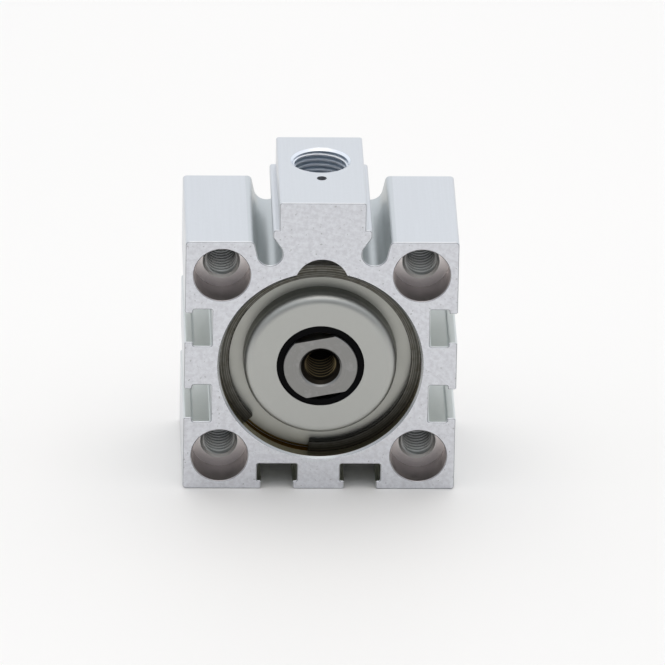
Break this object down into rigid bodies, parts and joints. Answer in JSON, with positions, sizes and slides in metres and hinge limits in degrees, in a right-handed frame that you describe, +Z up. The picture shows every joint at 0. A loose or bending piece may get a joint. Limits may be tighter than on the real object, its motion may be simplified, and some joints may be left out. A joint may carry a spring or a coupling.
{
  "type": "short-stroke pneumatic cylinder",
  "caption": "Compact single-acting short-stroke pneumatic cylinder: square slotted aluminium body with a raised port block and a spring-returned threaded rod.",
  "frame": {"origin": "on the rod axis, in the plane of the front mounting face", "axes": "-Y is the way the rod comes out, +Y to the closed rear face, +Z up to the air port, +X to the right seen from the front"},
  "size_m": [0.0446, 0.0265, 0.0515],
  "materials": {
    "anodised_aluminium": "extruded, natural satin anodised, machined faces",
    "turned_aluminium": "turned, natural anodised",
    "phosphated_spring_steel": "stamped, phosphated and oiled",
    "black_polyurethane": "moulded, matt",
    "hardened_rod_steel": "ground rod with a faced end",
    "sintered_bronze": "sintered, oil filled",
    "buffer_polyurethane": "moulded, matt",
    "nitrile_rubber": "moulded, matt",
    "guide_polymer": "machined strip",
    "bonded_magnet": "moulded plastic-bonded ferrite",
    "turned_piston_aluminium": "turned",
    "zinc_plated_steel": "cold formed, zinc plated",
    "spring_wire_steel": "cold coiled, oiled"
  },
  "bodies": {
    "housing": {"barrel": "anodised_aluminium", "bearing_cap": "turned_aluminium", "retaining_ring": "phosphated_spring_steel", "cap_o_ring": "nitrile_rubber", "rod_bush": "sintered_bronze", "rod_wiper": "black_polyurethane", "front_cushion_ring": "buffer_polyurethane", "rear_cushion_ring": "buffer_polyurethane", "return_spring": "spring_wire_steel"},
    "piston_seals": {"piston_seal": "black_polyurethane", "piston_guide_ring": "guide_polymer"},
    "piston_and_rod": {"piston_rod": "hardened_rod_steel", "piston": "turned_piston_aluminium", "piston_magnet": "bonded_magnet", "piston_screw": "zinc_plated_steel", "rod_o_ring": "nitrile_rubber"}
  },
  "joints": [
    {"name": "rod_stroke", "type": "slide", "parent": "housing", "child": "piston_seals", "axis": [0, -1, 0], "range_m": [0, 0.005], "stiffness_N_per_m": 1100, "springref_m": -0.006, "deforming": ["return_spring"]},
    {"name": "rod_turn", "type": "hinge", "parent": "piston_seals", "child": "piston_and_rod", "pos_m": [0, 0, 0], "axis": [0, -1, 0], "continuous": true}
  ]
}
